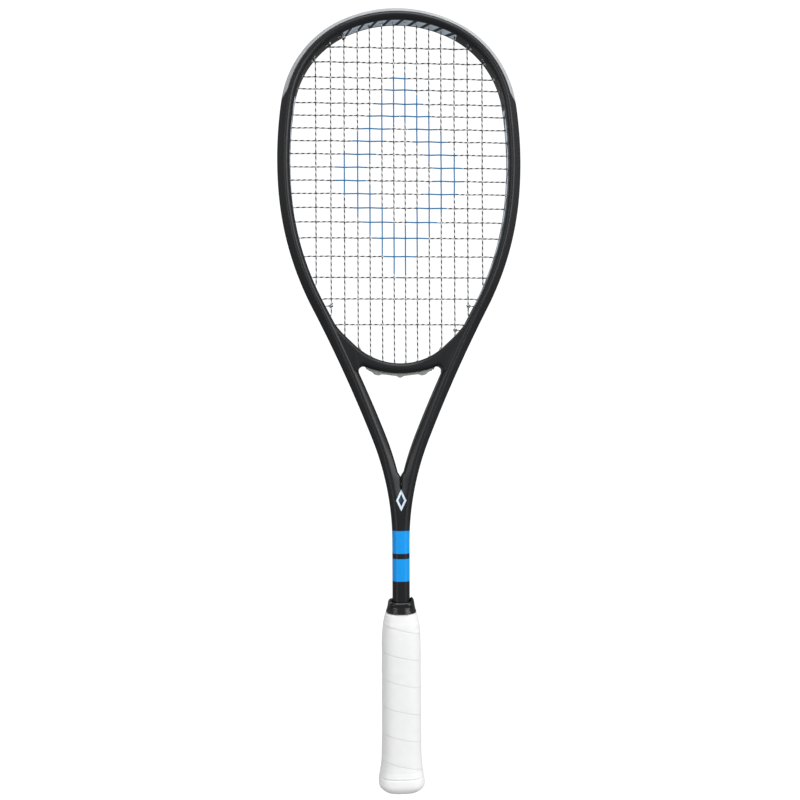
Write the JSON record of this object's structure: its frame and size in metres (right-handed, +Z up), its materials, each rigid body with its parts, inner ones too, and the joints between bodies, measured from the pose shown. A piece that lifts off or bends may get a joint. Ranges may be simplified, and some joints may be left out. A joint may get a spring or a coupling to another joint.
{
  "type": "squash racket",
  "caption": "Strung squash racket: teardrop carbon hoop with open V throat and curved bridge, woven string bed, slim shaft, sliding rubber collar and wrapped grip with flared butt",
  "frame": {"origin": "centre of the flat end of the butt, on the handle's axis", "axes": "+Z up the racket from the butt to the head, +X across the face, +Y through the face, so the strings lie in the XZ plane"},
  "size_m": [0.2136, 0.0344, 0.686],
  "materials": {
    "carbon": "satin lacquer over carbon fibre laminate, blue bands and marks",
    "carbon_bridge": "satin lacquer over carbon fibre laminate",
    "bumper": "matte moulded nylon",
    "grommet_black": "matte moulded nylon",
    "grommet_grey": "soft translucent moulded nylon",
    "string": "glossy multifilament with dark spiral fleck",
    "handle_foam": "moulded polyurethane",
    "butt_plastic": "matte moulded plastic",
    "staple_steel": "drawn steel wire",
    "grip_pu": "soft matte polyurethane wrap",
    "tape": "thin vinyl tape",
    "collar_rubber": "glossy soft rubber"
  },
  "bodies": {
    "racket": {"frame_tube": "carbon", "throat_bridge": "carbon_bridge", "head_bumper": "bumper", "side_grommets_left": "grommet_black", "side_grommets_right": "grommet_black", "throat_grommets": "grommet_grey", "main_string": "string", "cross_string": "string", "main_string_knots": "string", "cross_string_knots": "string", "handle_pallet_front": "handle_foam", "handle_pallet_back": "handle_foam", "butt_cap": "butt_plastic", "butt_cap_staples": "staple_steel", "base_grip": "grip_pu", "finishing_tape": "tape"},
    "collar": {"rubber_collar": "collar_rubber"}
  },
  "joints": [
    {"name": "collar_slide", "type": "slide", "parent": "racket", "child": "collar", "axis": [0, 0, 1], "range_m": [0, 0.047]}
  ]
}
